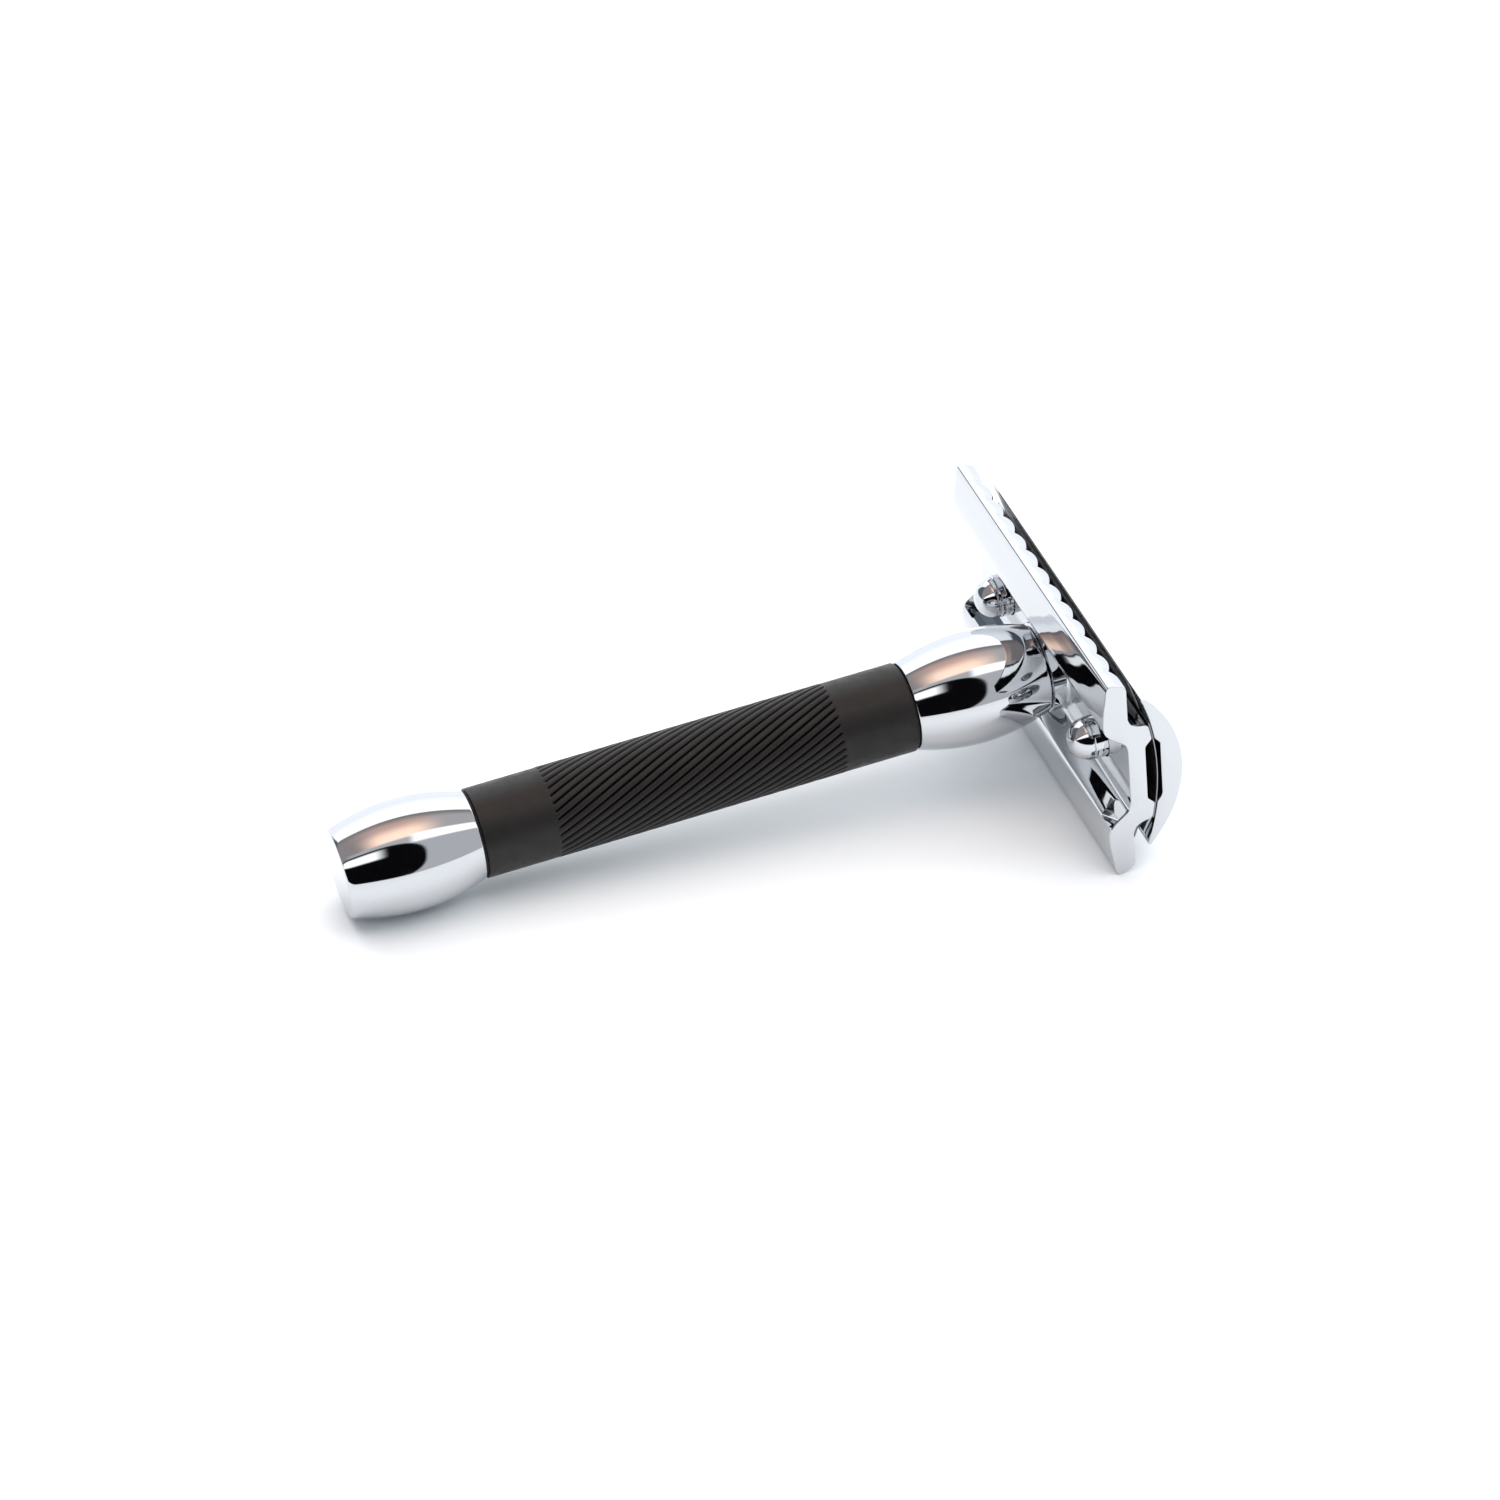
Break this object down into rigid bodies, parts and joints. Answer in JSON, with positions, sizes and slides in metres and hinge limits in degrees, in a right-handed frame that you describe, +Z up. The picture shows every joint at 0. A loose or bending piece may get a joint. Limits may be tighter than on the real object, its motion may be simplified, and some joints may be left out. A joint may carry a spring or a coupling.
{
  "type": "safety razor",
  "caption": "Double-edge safety razor: domed cap over a scalloped closed guard plate, clamped by a screw-on handle with a knurled dark sleeve.",
  "frame": {"origin": "bottom centre of the bounding box, on the surface that the razor lies on", "axes": "+X from the knob towards the head, +Y along the head, +Z up; the handle rises 5.25 degrees towards the head"},
  "size_m": [0.0874, 0.043, 0.0257],
  "materials": {
    "chrome": "mirror-polished chrome plate",
    "sleeve": "satin black, finely knurled in the middle",
    "ring": "matt black",
    "steel": "machined",
    "blade_steel": "ground and polished"
  },
  "bodies": {
    "guard": {"guard_plate": "chrome"},
    "handle": {"collar": "chrome", "collar_ring": "ring", "grip_sleeve": "sleeve", "core_rod": "steel", "knob_ring": "ring", "end_knob": "chrome"},
    "cap": {"cap_shell": "chrome", "cap_post": "steel", "cap_peg_near": "chrome", "cap_peg_far": "chrome"},
    "blade": {"blade": "blade_steel"}
  },
  "joints": [
    {"name": "handle_turn", "type": "hinge", "parent": "guard", "child": "handle", "pos_m": [-0.00345, 0, 0.00923], "axis": [-0.9958, 0, -0.0914], "range_deg": [0, 3600]},
    {"name": "cap_lift", "type": "slide", "parent": "guard", "child": "cap", "axis": [0.9958, 0, 0.0914], "range_m": [0, 0.00801]},
    {"name": "blade_lift", "type": "slide", "parent": "guard", "child": "blade", "axis": [0.9958, 0, 0.0914], "range_m": [0, 0.00401]}
  ],
  "couplings": [
    {"joint": "cap_lift", "follows": "handle_turn", "m_per_rad": 0.00012732},
    {"joint": "blade_lift", "follows": "handle_turn", "m_per_rad": 0.000063662}
  ]
}
